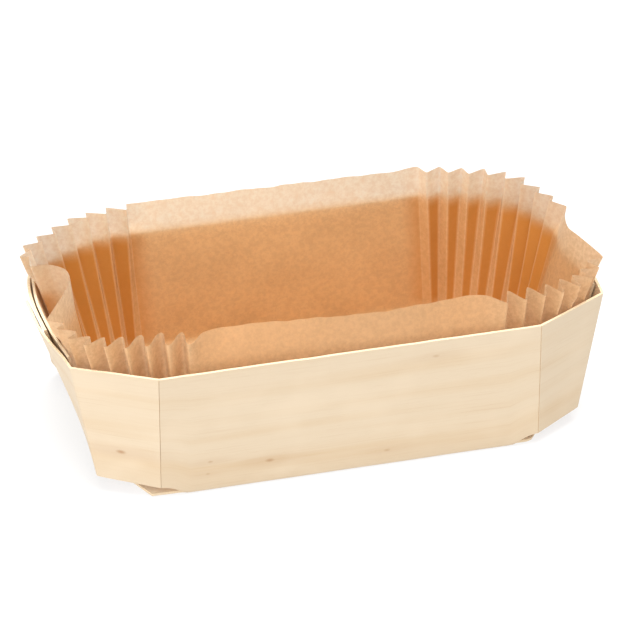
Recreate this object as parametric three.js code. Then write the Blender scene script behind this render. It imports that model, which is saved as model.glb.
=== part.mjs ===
// An octagonal loaf mould folded from thin poplar veneer, with a pleated baking-paper liner.
// Millimetres, +Z up, origin on the table at the middle of the bottom sheet, X along the loaf.
// The veneer is bent up along its grain into two long walls. Each long wall runs on, past a
// score line, into two corner panels and two end plies that lap over each other at the ends.

import * as THREE from 'three';

// Veneer tray
const VENEER = 1; // thickness of the veneer
const GAP = 0.3; // clearance between neighbouring panels
const RIM_Z = 50.5; // height of the veneer rim
const WALL_Y = 51; // outer face of a long wall, from the middle
const SCORE_X = 71; // score line between a long wall and its corner panel
const BEND_RADIUS = 1.2; // outer radius of the bend along the foot of a long wall
const BEND_STEPS = 4;
const SCORE_FOOT_Z = 4; // lower edge of the corner panel at the score line
const SLANT_X = 60; // from here to the score line the wall's foot is cut away
const SLANT_STEPS = 5;
const FOLD_RIM = [100, 35]; // fold between corner panel and end ply, at the rim
const SCORE_STEP = 0.75; // how far a corner panel starts past the score line, to clear the wall
const FOLD_STEP = 1.15; // how far an end ply starts past its fold, to clear the corner panel
const PLY_STEPS = 10; // stations along a bowed end ply

// Bottom sheet, quarters of its outline: the long edge, the tongue and the cut corner
const SHEET_LEFT = [[62.6, 49.5], [62.6, 49.4], [74, 49], [83.3, 28.6]];
const SHEET_BACK_RIGHT = [[62.6, 49.5], [62.6, 49.4], [74, 49], [85, 28.6]];
const SHEET_FRONT_RIGHT = [[62.6, 49.5], [62.6, 49.4], [67.2, 49.4], [69.2, 48.6], [71.4, 45.6], [85, 28.6]];

// Both ends, as [distance from the middle, place across the mould], outer face. The front ply
// is outermost, the back ply is between, and the flap of the bottom sheet is innermost. The
// left end has sprung open, and the right one is flat.
const LEFT_FOLD_FOOT = [92.2, 40];
const RIGHT_FOLD_FOOT = [90, 40];
const ENDS = {
  left: {
    sx: -1,
    foldFoot: LEFT_FOLD_FOOT,
    foldFootZ: 6,
    frontRim: [FOLD_RIM, [101.2, 26], [103.6, 16], [105.3, 6], [105.8, -4], [106, -14]],
    frontFoot: [LEFT_FOLD_FOOT, [90.9, 24], [90, 8], [89.8, -14]],
    backRim: [FOLD_RIM, [102, 29], [103.4, 22], [104.1, 14], [104.2, 6], [103.6, -8]],
    backFoot: [LEFT_FOLD_FOOT, [89.2, 24], [88.3, 12], [88, -8]],
    flapRim: [[100.6, 28], [102.2, 15], [102.4, 5], [101.6, -10], [99.2, -28]],
    flapFoot: [[84.6, 28.4], [84.6, 0], [84.6, -28.4]],
  },
  right: {
    sx: 1,
    foldFoot: RIGHT_FOLD_FOOT,
    foldFootZ: 5.4,
    frontRim: [FOLD_RIM, [100.5, 26], [100.5, 16], [100.1, 6], [99.5, -4], [98.9, -14]],
    frontFoot: [RIGHT_FOLD_FOOT, [90.3, 20], [90.3, 0], [90.3, -14]],
    backRim: [FOLD_RIM, [99.6, 29], [98.6, 22], [97.5, 14], [97.8, 6], [98.4, -8]],
    backFoot: [RIGHT_FOLD_FOOT, [89.4, 20], [88.9, 8], [88.9, -8]],
    flapRim: [[97.8, 28], [96.7, 20], [96.1, 14], [96.4, 5], [97, -10], [98.6, -28]],
    flapFoot: [[86.4, 28.4], [86.4, 0], [86.4, -28.4]],
  },
};
const FLAP_FOOT_Z = 0.3;

// Paper liner: its outline at its foot, at the veneer rim and at its top edge, as quarters
// from the long panel to the end panel, with the right end's own places below
const PAPER = 0.6; // thickness that stands in for the paper
const PLEATS = 9; // pleats in each corner
const LINER_STEPS = 5; // levels from the liner's foot up to the veneer rim
const LINER_LEVELS = [
  { z: 1.3, depth: 1.2, quarter: [[50, 46.5], [58, 46.5], [83, 27], [83, 15]] },
  { z: 50.5, depth: 5.5, quarter: [[58, 49.6], [70.4, 49.6], [97.6, 34.4], [97.6, 17]] },
  { z: 62.5, depth: 7.5, quarter: [[58.5, 50.8], [71.5, 50.8], [101.5, 36.5], [102.5, 17]] },
];
const RIGHT_END_PLACES = [[[83, 27], [83, 15]], [[96, 34.4], [94.3, 17]], [[99.8, 36], [97, 17]]];

const POPLAR = { color: 0xf0dcbe, roughness: 0.72, metalness: 0 };
const POPLAR_INNER = { color: 0xecd2ab, roughness: 0.75, metalness: 0 };
const BAKING_PAPER = { color: 0xe2a469, roughness: 0.6, metalness: 0, side: THREE.DoubleSide };

// Turns triangles of points into one closed geometry with its faces pointing out.
function closedGeometry(triangles) {
  let volume = 0;
  for (const [a, b, c] of triangles) {
    volume += a.dot(b.clone().cross(c));
  }
  const positions = [];
  for (const [a, b, c] of triangles) {
    const corners = volume > 0 ? [a, b, c] : [a, c, b];
    for (const corner of corners) {
      positions.push(corner.x, corner.y, corner.z);
    }
  }
  const geometry = new THREE.BufferGeometry();
  geometry.setAttribute('position', new THREE.Float32BufferAttribute(positions, 3));
  geometry.computeVertexNormals();
  return geometry;
}

function quad(triangles, a, b, c, d) {
  triangles.push([a, b, c], [a, c, d]);
}

// A thin solid between two grids of points: its outer face, its inner face and four edges.
function slab(outer, inner) {
  const triangles = [];
  const last = outer.length - 1;
  const end = outer[0].length - 1;
  for (let i = 0; i < last; i += 1) {
    for (let j = 0; j < end; j += 1) {
      quad(triangles, outer[i][j], outer[i + 1][j], outer[i + 1][j + 1], outer[i][j + 1]);
      quad(triangles, inner[i][j], inner[i][j + 1], inner[i + 1][j + 1], inner[i + 1][j]);
    }
    quad(triangles, outer[i][0], inner[i][0], inner[i + 1][0], outer[i + 1][0]);
    quad(triangles, outer[i][end], outer[i + 1][end], inner[i + 1][end], inner[i][end]);
  }
  for (let j = 0; j < end; j += 1) {
    quad(triangles, outer[0][j], outer[0][j + 1], inner[0][j + 1], inner[0][j]);
    quad(triangles, outer[last][j], inner[last][j], inner[last][j + 1], outer[last][j + 1]);
  }
  return closedGeometry(triangles);
}

// An open pot between outer rings and inner rings that match them, each stack from foot to rim.
function pot(outer, inner) {
  const triangles = [];
  const count = outer[0].length;
  const top = outer.length - 1;
  const floors = [outer[0], inner[0]].map((ring) => new THREE.Vector3(0, 0, ring[0].z));
  for (let i = 0; i < count; i += 1) {
    const next = (i + 1) % count;
    for (let level = 0; level < top; level += 1) {
      const above = level + 1;
      quad(triangles, outer[level][i], outer[level][next], outer[above][next], outer[above][i]);
      quad(triangles, inner[level][i], inner[above][i], inner[above][next], inner[level][next]);
    }
    quad(triangles, outer[top][i], outer[top][next], inner[top][next], inner[top][i]);
    triangles.push([floors[0], outer[0][next], outer[0][i]]);
    triangles.push([floors[1], inner[0][i], inner[0][next]]);
  }
  return closedGeometry(triangles);
}

// Evenly spaced points on a smooth curve through a few plan points.
function smoothPlan(points, steps) {
  const curve = new THREE.SplineCurve(points.map(([x, y]) => new THREE.Vector2(x, y)));
  return curve.getSpacedPoints(steps);
}

// A panel ruled between its foot line and its rim line, both on the outer face. Its inner face
// lies one veneer thickness towards the middle of the mould.
function ruledPanel(foot, rim, footZ, sx, sy) {
  const outer = [];
  const inner = [];
  for (let i = 0; i < rim.length; i += 1) {
    const before = rim[Math.max(i - 1, 0)];
    const after = rim[Math.min(i + 1, rim.length - 1)];
    const along = new THREE.Vector3(after.x - before.x, after.y - before.y, 0);
    const low = new THREE.Vector3(foot[i].x, foot[i].y, footZ[i]);
    const high = new THREE.Vector3(rim[i].x, rim[i].y, RIM_Z);
    const inward = along.cross(high.clone().sub(low)).normalize();
    if (inward.x * high.x + inward.y * high.y > 0) {
      inward.negate();
    }
    const shift = inward.setZ(0).multiplyScalar(VENEER / inward.length());
    const flip = new THREE.Vector3(sx, sy, 1);
    outer.push([low.clone().multiply(flip), high.clone().multiply(flip)]);
    inner.push([low.add(shift).multiply(flip), high.add(shift).multiply(flip)]);
  }
  return slab(outer, inner);
}

// The long wall's outer and inner point at one distance along its bend and up its face.
function wallPoints(distance) {
  const bendLength = BEND_RADIUS * Math.PI / 2;
  const centreY = WALL_Y - BEND_RADIUS;
  if (distance >= bendLength) {
    const z = BEND_RADIUS + distance - bendLength;
    return [[WALL_Y, z], [WALL_Y - VENEER, z]];
  }
  const angle = distance / BEND_RADIUS;
  return [BEND_RADIUS, BEND_RADIUS - VENEER].map((radius) => [
    centreY + radius * Math.sin(angle),
    BEND_RADIUS - radius * Math.cos(angle),
  ]);
}

// How far along its bend the long wall starts: at 0 in the middle, and higher near its ends.
function wallStart(x) {
  const share = Math.max(0, (Math.abs(x) - SLANT_X) / (SCORE_X - SLANT_X));
  return (SCORE_FOOT_Z - BEND_RADIUS + BEND_RADIUS * Math.PI / 2) * Math.sin(share * Math.PI / 2);
}

function longWall(sy) {
  const bendLength = BEND_RADIUS * Math.PI / 2;
  const wholeLength = bendLength + RIM_Z - BEND_RADIUS;
  const endX = SCORE_X - GAP / 2;
  const halfStations = [];
  for (let i = 0; i <= SLANT_STEPS; i += 1) {
    halfStations.push(SLANT_X + (endX - SLANT_X) * i / SLANT_STEPS);
  }
  const stations = [...halfStations.map((x) => -x).reverse(), ...halfStations];
  const outer = [];
  const inner = [];
  for (const x of stations) {
    const start = wallStart(x);
    const rowOut = [];
    const rowIn = [];
    for (let j = 0; j <= BEND_STEPS + 1; j += 1) {
      const plain = j <= BEND_STEPS ? bendLength * j / BEND_STEPS : wholeLength;
      const distance = start + plain * (1 - start / wholeLength);
      const [out, into] = wallPoints(distance);
      rowOut.push(new THREE.Vector3(x, sy * out[0], out[1]));
      rowIn.push(new THREE.Vector3(x, sy * into[0], into[1]));
    }
    outer.push(rowOut);
    inner.push(rowIn);
  }
  return slab(outer, inner);
}

function cornerPanel(end, sy) {
  const score = new THREE.Vector2(SCORE_X, WALL_Y);
  const foldRim = new THREE.Vector2(...FOLD_RIM);
  const foldFoot = new THREE.Vector2(...end.foldFoot);
  const along = foldRim.clone().sub(score).normalize();
  const start = score.clone().addScaledVector(along, SCORE_STEP);
  const rim = [start, foldRim.addScaledVector(along, -GAP / 2)];
  const foot = [start, foldFoot.addScaledVector(along, -GAP / 2)];
  return ruledPanel(foot, rim, [SCORE_FOOT_Z, end.foldFootZ], end.sx, sy);
}

// An end ply or flap through its plan points. The first station steps back from its fold.
function endPly(rimPoints, footPoints, footZ, firstStep, sx, sy) {
  const rim = smoothPlan(rimPoints, PLY_STEPS);
  const foot = smoothPlan(footPoints, PLY_STEPS);
  rim[0].y -= firstStep;
  foot[0].y -= firstStep;
  return ruledPanel(foot, rim, rim.map(() => footZ), sx, sy);
}

function bottomSheet() {
  const place = (quarter, sx, sy) => quarter.map(([x, y]) => new THREE.Vector2(sx * x, sy * y));
  const outline = [
    ...place(SHEET_BACK_RIGHT, 1, 1),
    ...place(SHEET_FRONT_RIGHT, 1, -1).reverse(),
    ...place(SHEET_LEFT, -1, -1),
    ...place(SHEET_LEFT, -1, 1).reverse(),
  ];
  const settings = { depth: VENEER, bevelEnabled: false };
  return new THREE.ExtrudeGeometry(new THREE.Shape(outline), settings);
}

// One quarter of the liner at one level: points that step out and in along the corner.
function pleatQuarter(level, inset) {
  const plan = level.quarter.map(([x, y]) => new THREE.Vector2(x, y));
  const path = new THREE.CurvePath();
  for (let i = 0; i + 1 < plan.length; i += 1) {
    path.add(new THREE.LineCurve(plan[i], plan[i + 1]));
  }
  const points = [];
  const steps = PLEATS * 2;
  for (let i = 0; i <= steps; i += 1) {
    const point = path.getPointAt(i / steps);
    const tangent = path.getTangentAt(i / steps);
    const depth = (i % 2 === 0 ? 0 : level.depth) + inset;
    points.push(new THREE.Vector2(point.x + tangent.y * depth, point.y - tangent.x * depth));
  }
  return points;
}

function linerRing(level, inset, z) {
  const left = pleatQuarter(level, inset);
  const right = pleatQuarter({ depth: level.depth, quarter: level.rightQuarter }, inset);
  const turnedRight = [...right].reverse();
  const turnedLeft = [...left].reverse();
  const ring = [
    ...turnedRight,
    ...left.map((p) => new THREE.Vector2(-p.x, p.y)),
    ...turnedLeft.map((p) => new THREE.Vector2(-p.x, -p.y)),
    ...right.map((p) => new THREE.Vector2(p.x, -p.y)),
  ];
  return ring.map((p) => new THREE.Vector3(p.x, p.y, z));
}

// The liner's levels, with evenly spaced ones added between its foot and the veneer rim.
function linerLevels() {
  const [foot, rim, top] = LINER_LEVELS.map((level, k) => ({
    ...level,
    rightQuarter: [...level.quarter.slice(0, 2), ...RIGHT_END_PLACES[k]],
  }));
  const levels = [];
  for (let i = 0; i < LINER_STEPS; i += 1) {
    const share = i / LINER_STEPS;
    const mixed = (a, b) => a + (b - a) * share;
    const between = (low, high) => low.map(([x, y], k) => [mixed(x, high[k][0]), mixed(y, high[k][1])]);
    levels.push({
      z: mixed(foot.z, rim.z),
      depth: mixed(foot.depth, rim.depth),
      quarter: between(foot.quarter, rim.quarter),
      rightQuarter: between(foot.rightQuarter, rim.rightQuarter),
    });
  }
  return [...levels, rim, top];
}

function paperLiner() {
  const levels = linerLevels();
  const outside = levels.map((level) => linerRing(level, 0, level.z));
  const inside = levels.map((level) => linerRing(level, PAPER, level.z));
  inside[0] = linerRing(levels[0], PAPER, levels[0].z + PAPER);
  return pot(outside, inside);
}

const mould = new THREE.Group();
const tray = new THREE.Group();
const liner = new THREE.Group();
mould.add(tray, liner);

function addPiece(parent, name, geometry, look) {
  const mesh = new THREE.Mesh(geometry, new THREE.MeshStandardMaterial(look));
  mesh.name = name;
  parent.add(mesh);
}

addPiece(tray, 'bottom_sheet', bottomSheet(), POPLAR_INNER);
for (const [side, sy] of [['front', -1], ['back', 1]]) {
  addPiece(tray, `${side}_wall`, longWall(sy), POPLAR);
}
for (const [name, end] of Object.entries(ENDS)) {
  for (const [side, sy] of [['front', -1], ['back', 1]]) {
    addPiece(tray, `${side}_${name}_corner_panel`, cornerPanel(end, sy), POPLAR);
  }
  const front = endPly(end.frontRim, end.frontFoot, end.foldFootZ, FOLD_STEP, end.sx, -1);
  const back = endPly(end.backRim, end.backFoot, end.foldFootZ, FOLD_STEP, end.sx, 1);
  const flap = endPly(end.flapRim, end.flapFoot, FLAP_FOOT_Z, 0, end.sx, 1);
  addPiece(tray, `${name}_front_end_ply`, front, POPLAR);
  addPiece(tray, `${name}_back_end_ply`, back, POPLAR);
  addPiece(tray, `${name}_end_flap`, flap, POPLAR_INNER);
}
addPiece(liner, 'paper_liner', paperLiner(), BAKING_PAPER);

export default mould;
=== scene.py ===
"""Loaf mould folded from thin poplar veneer, with a loose pleated baking-paper liner."""

import math
import random

import bmesh
import bpy
import numpy as np
from bpy.props import FloatProperty, FloatVectorProperty, PointerProperty
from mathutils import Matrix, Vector


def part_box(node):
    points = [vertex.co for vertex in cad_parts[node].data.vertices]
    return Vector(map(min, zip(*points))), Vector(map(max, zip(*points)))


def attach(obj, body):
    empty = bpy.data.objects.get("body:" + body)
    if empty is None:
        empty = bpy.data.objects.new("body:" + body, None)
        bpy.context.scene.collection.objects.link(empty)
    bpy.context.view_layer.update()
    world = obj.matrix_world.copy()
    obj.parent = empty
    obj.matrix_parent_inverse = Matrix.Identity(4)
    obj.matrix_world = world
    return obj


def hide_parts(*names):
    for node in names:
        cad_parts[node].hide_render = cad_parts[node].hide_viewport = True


bl_info = {
    "name": "Veneer Loaf Mould",
    "version": (1, 0, 0),
    "blender": (4, 5, 0),
    "location": "3D View > Sidebar > Loaf Mould",
    "description": "Builds a folded veneer loaf mould with a pleated baking-paper liner",
    "category": "Add Mesh",
}

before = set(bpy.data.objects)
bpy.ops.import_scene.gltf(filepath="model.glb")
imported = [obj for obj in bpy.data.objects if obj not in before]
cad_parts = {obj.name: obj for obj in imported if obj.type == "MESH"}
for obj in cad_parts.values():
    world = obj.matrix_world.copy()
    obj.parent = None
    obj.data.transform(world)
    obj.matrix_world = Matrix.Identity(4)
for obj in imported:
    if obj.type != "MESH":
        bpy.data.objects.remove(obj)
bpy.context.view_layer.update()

MM = 0.001
SHEET_LOW, SHEET_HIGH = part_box("bottom_sheet")
WALL_LOW, WALL_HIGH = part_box("front_wall")
LINER_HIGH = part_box("paper_liner")[1]

# Plan of the tray in millimetres, for the quarter where x and y are positive, outer faces
RIM_Z = WALL_HIGH.z / MM
WALL_Y = -WALL_LOW.y / MM
VENEER = 1.0
BEND_RADIUS = 1.2
SLANT_X = 60.0
SCORE_X = 71.0
SCORE_FOOT_Z = 4.0
FOLD_RIM = (100.0, 35.0)
FOLD_ROUND = 0.9
LEFT_FOLD_FOOT = (92.2, 40.0)
RIGHT_FOLD_FOOT = (90.0, 40.0)
FLAP_FOOT_Z = 0.3
SHARP_ANGLE = math.radians(28)
RIM_UNEVENNESS = 0.22
TURN = 6.28

# Both ends, outer faces: the left one has sprung open, and the right one is flat. The front
# ply is outermost, the back ply is between, and the flap is innermost.
ENDS = {
    "left": {
        "sx": -1, "fold_foot": LEFT_FOLD_FOOT, "fold_foot_z": 6.0, "sheet_end": 83.3,
        "front_rim": [FOLD_RIM, (101.2, 26), (103.6, 16), (105.3, 6), (105.8, -4), (106, -14)],
        "front_foot": [LEFT_FOLD_FOOT, (90.9, 24), (90, 8), (89.8, -14)],
        "back_rim": [FOLD_RIM, (102, 29), (103.4, 22), (104.1, 14), (104.2, 6), (103.6, -8)],
        "back_foot": [LEFT_FOLD_FOOT, (89.2, 24), (88.3, 12), (88, -8)],
        "flap_rim": [(100.6, 28), (102.2, 15), (102.4, 5), (101.6, -10), (99.2, -28)],
        "flap_foot": [(84.6, 28.4), (84.6, 0), (84.6, -28.4)],
    },
    "right": {
        "sx": 1, "fold_foot": RIGHT_FOLD_FOOT, "fold_foot_z": 5.4, "sheet_end": 85.0,
        "front_rim": [FOLD_RIM, (100.5, 26), (100.5, 16), (100.1, 6), (99.5, -4), (98.9, -14)],
        "front_foot": [RIGHT_FOLD_FOOT, (90.3, 20), (90.3, 0), (90.3, -14)],
        "back_rim": [FOLD_RIM, (99.6, 29), (98.6, 22), (97.5, 14), (97.8, 6), (98.4, -8)],
        "back_foot": [RIGHT_FOLD_FOOT, (89.4, 20), (88.9, 8), (88.9, -8)],
        "flap_rim": [(97.8, 28), (96.7, 20), (96.1, 14), (96.4, 5), (97, -10), (98.6, -28)],
        "flap_foot": [(86.4, 28.4), (86.4, 0), (86.4, -28.4)],
    },
}

# Bottom sheet, quarters of its outline: one of its four tongues is cut shorter
LEFT_QUARTER = [(62.6, 49.6), (62.6, 49.4), (74.0, 49.0), (83.3, 28.6)]
BACK_RIGHT_QUARTER = [(62.6, 49.6), (62.6, 49.4), (74.0, 49.0), (85.0, 28.6)]
FRONT_RIGHT_QUARTER = [(62.6, 49.6), (62.6, 49.4), (67.2, 49.4), (69.2, 48.6), (71.4, 45.6), (85.0, 28.6)]

# Rows up a veneer panel, as shares of its height: close together round the bend, then even
BEND_LENGTH = BEND_RADIUS * math.pi / 2
WALL_LENGTH = BEND_LENGTH + RIM_Z - BEND_RADIUS
BEND_ROWS = np.linspace(0, BEND_LENGTH, 7)
WALL_ROWS = np.linspace(BEND_LENGTH, WALL_LENGTH, 16)[1:]
ROW_SHARES = np.concatenate([BEND_ROWS, WALL_ROWS]) / WALL_LENGTH

# Offsets of the grain coordinates, so that each piece is cut from its own stretch of veneer
GRAIN_OFFSETS = {"front": (0.0, 0.0), "back": (0.9, 0.21), "left": (1.7, 0.44), "right": (2.3, 0.63)}
SHEET_GRAIN = (3.1, 0.85)

# Pin knots on the front veneer: distance along it from its middle, height, size, darkness
KNOTS = [
    (-86, 14, 1.5, 1.0),
    (-52, 13, 0.8, 0.6),
    (-53, 8, 0.7, 0.45),
    (-30, 10, 1.3, 0.75),
    (14, 7, 1.0, 0.5),
    (32, 44, 1.1, 0.45),
]

RANDOM_SEED = 7


def linear(code):
    """A hex colour as the linear values that a colour property holds."""
    channels = [int(code[i : i + 2], 16) / 255 for i in (0, 2, 4)]
    return tuple(c / 12.92 if c <= 0.04045 else ((c + 0.055) / 1.055) ** 2.4 for c in channels)


def size_property(name, description, default, low, high, precision=5):
    """A size in metres that a user may change."""
    return FloatProperty(
        name=name, description=description, default=default,
        min=low, max=high, unit="LENGTH", precision=precision,
    )


def colour_property(name, description, default):
    """A colour that a user may change."""
    return FloatVectorProperty(
        name=name, description=description, subtype="COLOR", size=3, default=default, min=0, max=1,
    )


class TraySizes(bpy.types.PropertyGroup):
    """Sizes of the folded veneer tray."""

    veneer: size_property(
        "Veneer", "Thickness of the veneer", SHEET_HIGH.z - SHEET_LOW.z, 0.0004, 0.002, precision=4,
    )
    edge_round: size_property(
        "Edge rounding", "How far the cut edges are worn round", 0.13 * MM, 0, 0.3 * MM,
    )
    score_width: size_property(
        "Score width", "Width of the opened score line at each corner", 0.3 * MM, 0.1 * MM, 1 * MM,
    )
    score_depth: size_property(
        "Score depth", "Depth of the score line into the veneer", 0.45 * MM, 0, 0.9 * MM,
    )
    warp: size_property(
        "Warp", "How far the veneer bends inward where it has dried unevenly", 0.22 * MM, 0, 0.6 * MM,
    )


class LinerSizes(bpy.types.PropertyGroup):
    """Sizes of the paper liner."""

    softness: FloatProperty(
        name="Fold softness", description="How soft the pleats' folds are, as a share of this liner's own",
        default=1.0, min=0.1, max=1.5, subtype="FACTOR",
    )
    foot_round: size_property(
        "Foot rounding", "Radius between the liner's wall and its floor", 2.6 * MM, 0.5 * MM, 6 * MM,
    )
    edge_wave: size_property("Edge wave", "How uneven the liner's top edge is", 0.35 * MM, 0, 2 * MM)
    crumple: size_property("Crumple", "How far the paper's smooth panels buckle", 0.35 * MM, 0, 2 * MM)


class MouldColours(bpy.types.PropertyGroup):
    """Colours of the veneer, the paper and the floor."""

    veneer: colour_property("Veneer", "Main colour of the poplar veneer", linear("d9c6ab"))
    veneer_band: colour_property(
        "Veneer bands", "Colour of the darker bands in the veneer", linear("cfb189"),
    )
    veneer_streak: colour_property("Veneer streaks", "Colour of the fine grain streaks", linear("bf9b70"))
    cut_edge: colour_property("Cut edge", "Colour of the veneer's cut edges", linear("e8d2b0"))
    knot: colour_property("Knots", "Colour of the pin knots", linear("a06a38"))
    paper: colour_property("Paper", "Colour of the baking paper", linear("d5a372"))
    # A lit copy of the paper colour: painted light along the back panel.
    paper_back_lit: colour_property(
        "Paper on the back panel", "Colour of the baking paper along the back", linear("f9c991"),
    )
    # Colour of the painted shade in the pleats, also used for the double paper there and for dark specks.
    paper_specks_and_pleat_shade: colour_property(
        "Paper in the pleats", "Colour of the paper where pleats lie double", linear("c27a20"),
    )
    paper_light: colour_property(
        "Light through the paper", "Colour that light takes on through the paper", linear("eeddbc"),
    )
    # Painted backlight: a paler colour of the light through the paper where it stands above the veneer.
    paper_free_backlight: colour_property(
        "Light through the free edge", "Colour of light through the edge above the veneer", linear("ecf6ee"),
    )
    floor: colour_property("Floor", "Colour of the floor under the mould", (0.9, 0.9, 0.9))


# ---------------------------------------------------------------- shader maths


class Number:
    """A value that changes over a surface. Arithmetic on it adds Math nodes to its recipe."""

    def __init__(self, recipe, socket):
        self.recipe = recipe
        self.socket = socket

    def __add__(self, other):
        return self.recipe.maths("ADD", self, other)

    __radd__ = __add__

    def __sub__(self, other):
        return self.recipe.maths("SUBTRACT", self, other)

    def __rsub__(self, other):
        return self.recipe.maths("SUBTRACT", other, self)

    def __mul__(self, other):
        return self.recipe.maths("MULTIPLY", self, other)

    __rmul__ = __mul__

    def __truediv__(self, other):
        return self.recipe.maths("DIVIDE", self, other)

    def __rtruediv__(self, other):
        return self.recipe.maths("DIVIDE", other, self)


class Recipe:
    """The node tree of one material."""

    def __init__(self, name):
        self.material = bpy.data.materials.new(name)
        self.material.use_nodes = True
        self.tree = self.material.node_tree
        self.tree.nodes.clear()

    def add(self, kind, settings=None, inputs=None):
        """Adds a node: first its settings, then its sockets' values or links."""
        node = self.tree.nodes.new(kind)
        for key, value in (settings or {}).items():
            setattr(node, key, value)
        for key, value in (inputs or {}).items():
            source = value.socket if isinstance(value, Number) else value
            if isinstance(source, bpy.types.NodeSocket):
                self.tree.links.new(source, node.inputs[key])
            else:
                node.inputs[key].default_value = source
        return node

    def maths(self, operation, *values):
        inputs = dict(enumerate(values))
        node = self.add("ShaderNodeMath", {"operation": operation}, inputs)
        return Number(self, node.outputs[0])

    def smooth_step(self, value, low, high):
        """0 below low, 1 above high, and a smooth change between them."""
        settings = {"interpolation_type": "SMOOTHSTEP"}
        node = self.add("ShaderNodeMapRange", settings, {0: value, 1: low, 2: high, 3: 0.0, 4: 1.0})
        return Number(self, node.outputs[0])

    def mix(self, factor, first, second):
        """A colour between two colours, which are sockets or four numbers."""
        settings = {"data_type": "RGBA"}
        return self.add("ShaderNodeMix", settings, {0: factor, 6: first, 7: second}).outputs[2]

    def stretch(self, vector, scale, shift=(0, 0, 0)):
        """Scaled and moved texture coordinates."""
        inputs = {0: vector, 1: scale, 2: shift}
        return self.add("ShaderNodeVectorMath", {"operation": "MULTIPLY_ADD"}, inputs).outputs[0]

    def noise(self, vector, scale=1.0, detail=3.0, roughness=0.5, distortion=0.0):
        inputs = {
            "Vector": vector, "Scale": scale, "Detail": detail,
            "Roughness": roughness, "Distortion": distortion,
        }
        node = self.add("ShaderNodeTexNoise", {"noise_dimensions": "3D"}, inputs)
        return Number(self, node.outputs[0])

    def split(self, vector):
        node = self.add("ShaderNodeSeparateXYZ", None, {0: vector})
        return [Number(self, socket) for socket in node.outputs]

    def join(self, x, y, z=0.0):
        return self.add("ShaderNodeCombineXYZ", None, {0: x, 1: y, 2: z}).outputs[0]

    def attribute(self, name):
        node = self.add("ShaderNodeAttribute", {"attribute_name": name})
        return Number(self, node.outputs["Fac"])

    def bump(self, height, strength, distance):
        inputs = {"Strength": strength, "Distance": distance, "Height": height}
        return self.add("ShaderNodeBump", None, inputs).outputs[0]

    def surface(self, colour, roughness, specular, normal):
        """A shader for a plain surface."""
        inputs = {
            "Base Color": colour, "Roughness": roughness,
            "Specular IOR Level": specular, "Normal": normal,
        }
        return self.add("ShaderNodeBsdfPrincipled", None, inputs).outputs[0]

    def finish(self, shader):
        self.add("ShaderNodeOutputMaterial", None, {"Surface": shader})
        return self.material


def opaque(colour, share=1.0, lift=0.0):
    """A colour property as the four numbers of a colour socket, or a paler or darker one."""
    return tuple(min(1.0, c * share + lift) for c in colour) + (1.0,)


def grain_vector(recipe):
    """Grain coordinates in millimetres: along the veneer, up it, and nothing."""
    uv = recipe.add("ShaderNodeUVMap", {"uv_map": "grain"}).outputs[0]
    return recipe.stretch(uv, (1000, 1000, 0))


def knot_masks(recipe, along, up):
    """How much each point belongs to a knot, to the halo round one, and the grain's shift there."""
    knot = halo = shift = 0.0
    for at, height, size, darkness in KNOTS:
        dx = (along - at) / (size * 1.6)
        dy = (up - height) / (size * 0.75)
        near = recipe.maths("SQRT", dx * dx + dy * dy)
        core = (1 - recipe.smooth_step(near, 0.1, 1.1)) * darkness
        around = recipe.maths("SQRT", dx * dx * 0.16 + dy * dy)
        wide = 1 - recipe.smooth_step(around, 0.4, 4.2)
        knot = core + knot
        halo = wide * darkness + halo
        shift = wide * wide * (up - height) * -0.55 + shift
    return knot, halo, shift


def veneer_material(colours):
    """Peeled poplar: fine grain along the sheet, soft bands, short pores and a few pin knots."""
    recipe = Recipe("peeled_poplar")
    along, up, _ = recipe.split(grain_vector(recipe))
    knot, halo, shift = knot_masks(recipe, along, up)
    drift = recipe.noise(recipe.join(along * 0.012, up * 0.04, 3.0), detail=2.0)
    grain_up = up + shift + (drift - 0.5) * 3.0
    bands = recipe.noise(recipe.join(along * 0.006, grain_up * 0.16, 1.0), detail=3.0)
    streaks = recipe.noise(recipe.join(along * 0.03, grain_up * 1.5, 7.0), detail=5.0, roughness=0.6)
    fibres = recipe.noise(recipe.join(along * 0.22, grain_up * 6.5, 2.0), detail=3.0, roughness=0.65)
    pores = recipe.noise(recipe.join(along * 0.35, grain_up * 3.6, 11.0), detail=1.0)
    blotch = recipe.noise(recipe.join(along * 0.035, up * 0.05, 5.0), detail=2.0)

    colour = recipe.mix(
        recipe.smooth_step(bands, 0.42, 0.72) * 0.36,
        opaque(colours.veneer),
        opaque(colours.veneer_band),
    )
    low_band = (1 - recipe.smooth_step(grain_up, 5.0, 17.0)) * recipe.smooth_step(grain_up, -6.0, 8.0)
    colour = recipe.mix(low_band * 0.3, colour, opaque(colours.veneer_band))
    streak = recipe.smooth_step(streaks, 0.5, 0.78)
    colour = recipe.mix(streak * 0.24, colour, opaque(colours.veneer_streak))
    colour = recipe.mix(recipe.smooth_step(fibres, 0.45, 0.8) * 0.16, colour, opaque(colours.veneer_streak))
    colour = recipe.mix(recipe.smooth_step(pores, 0.7, 0.8) * 0.2, colour, opaque(colours.veneer_streak))
    pale = opaque(colours.veneer, 1.06, 0.02)
    colour = recipe.mix(recipe.smooth_step(blotch, 0.45, 0.75) * 0.45, colour, pale)
    colour = recipe.mix(halo * 0.16, colour, opaque(colours.knot))
    colour = recipe.mix(knot * 0.6, colour, opaque(colours.knot))

    height = fibres * 0.6 + streaks * 0.5 + pores * -0.5
    roughness = 0.56 + (streaks - 0.5) * 0.25 + (blotch - 0.5) * 0.1
    return recipe.finish(recipe.surface(colour, roughness, 0.32, recipe.bump(height, 0.35, 0.08 * MM)))


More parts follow.
